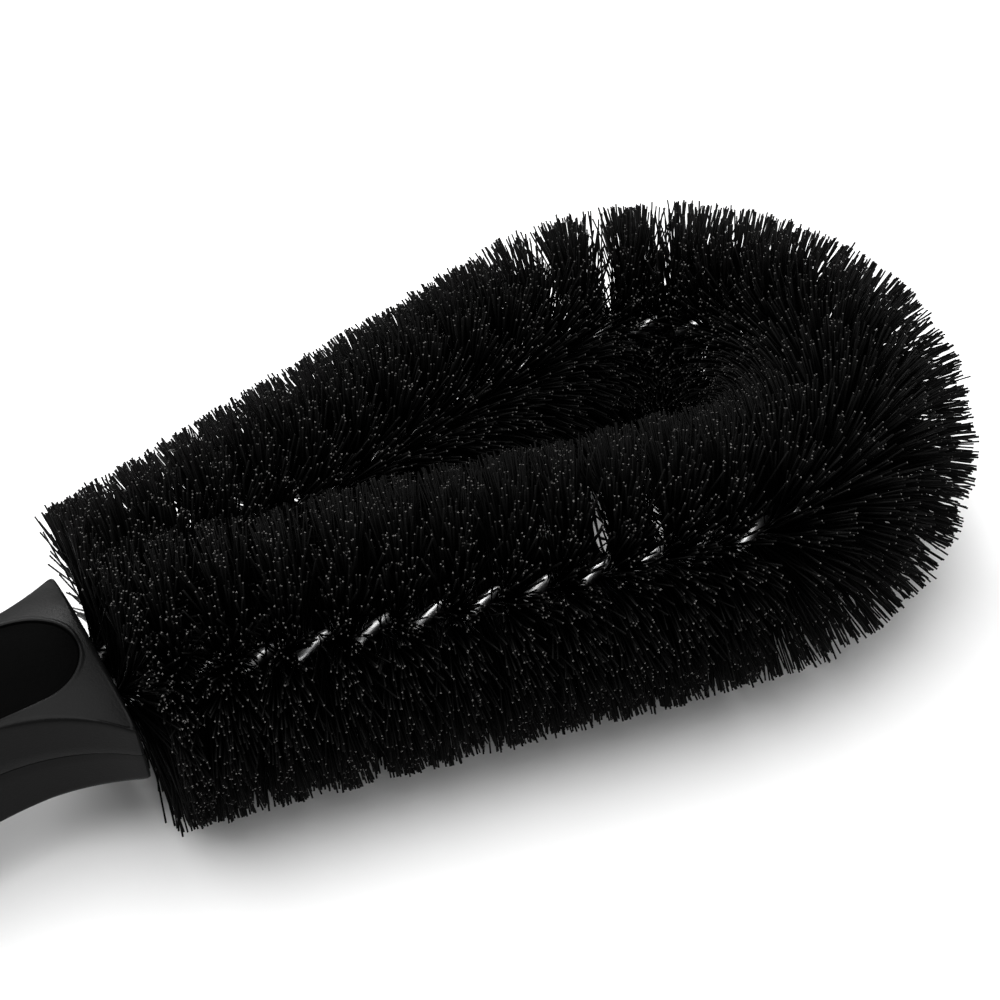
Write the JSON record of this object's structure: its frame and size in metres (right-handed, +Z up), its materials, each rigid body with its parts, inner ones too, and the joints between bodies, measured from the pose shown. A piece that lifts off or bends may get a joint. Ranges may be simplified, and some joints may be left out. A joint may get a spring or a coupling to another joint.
{
  "type": "wheel brush",
  "caption": "Looped wheel brush: filaments wound into a twisted wire loop, on a flared handle with soft pads and a hang hole.",
  "frame": {"origin": "on the resting surface, under the middle of the bounding box", "axes": "+X along the brush from the tail of the handle towards the nose of the loop, +Y across the loop to the left limb, +Z up, square to the loop"},
  "size_m": [0.32, 0.115, 0.05],
  "materials": {
    "galvanised_wire": "zinc-coated drawn wire, bright on the crowns of the twist",
    "filament": "black polypropylene filament, satin along its length, cut tips",
    "crimp_steel": "plain crimped sleeve",
    "anchor_plastic": "moulded, unpolished",
    "shell_plastic": "satin moulded black with a fine texture",
    "soft_grip": "matt soft-touch rubber",
    "eyelet_steel": "rolled eyelet, satin",
    "screw_steel": "zinc-plated"
  },
  "bodies": {
    "root": {"wire_strand_a": "galvanised_wire", "wire_strand_b": "galvanised_wire", "bristles_neck_left": "filament", "bristles_limb_left": "filament", "bristles_shoulder_left": "filament", "bristles_nose": "filament", "bristles_shoulder_right": "filament", "bristles_limb_right": "filament", "bristles_neck_right": "filament", "ferrule_left": "crimp_steel", "ferrule_right": "crimp_steel", "anchor_block": "anchor_plastic", "lock_plate": "anchor_plastic", "upper_shell": "shell_plastic", "lower_shell": "shell_plastic", "thumb_pad": "soft_grip", "palm_pad": "soft_grip", "hang_eyelet": "eyelet_steel", "shell_screws": "screw_steel"}
  },
  "joints": []
}
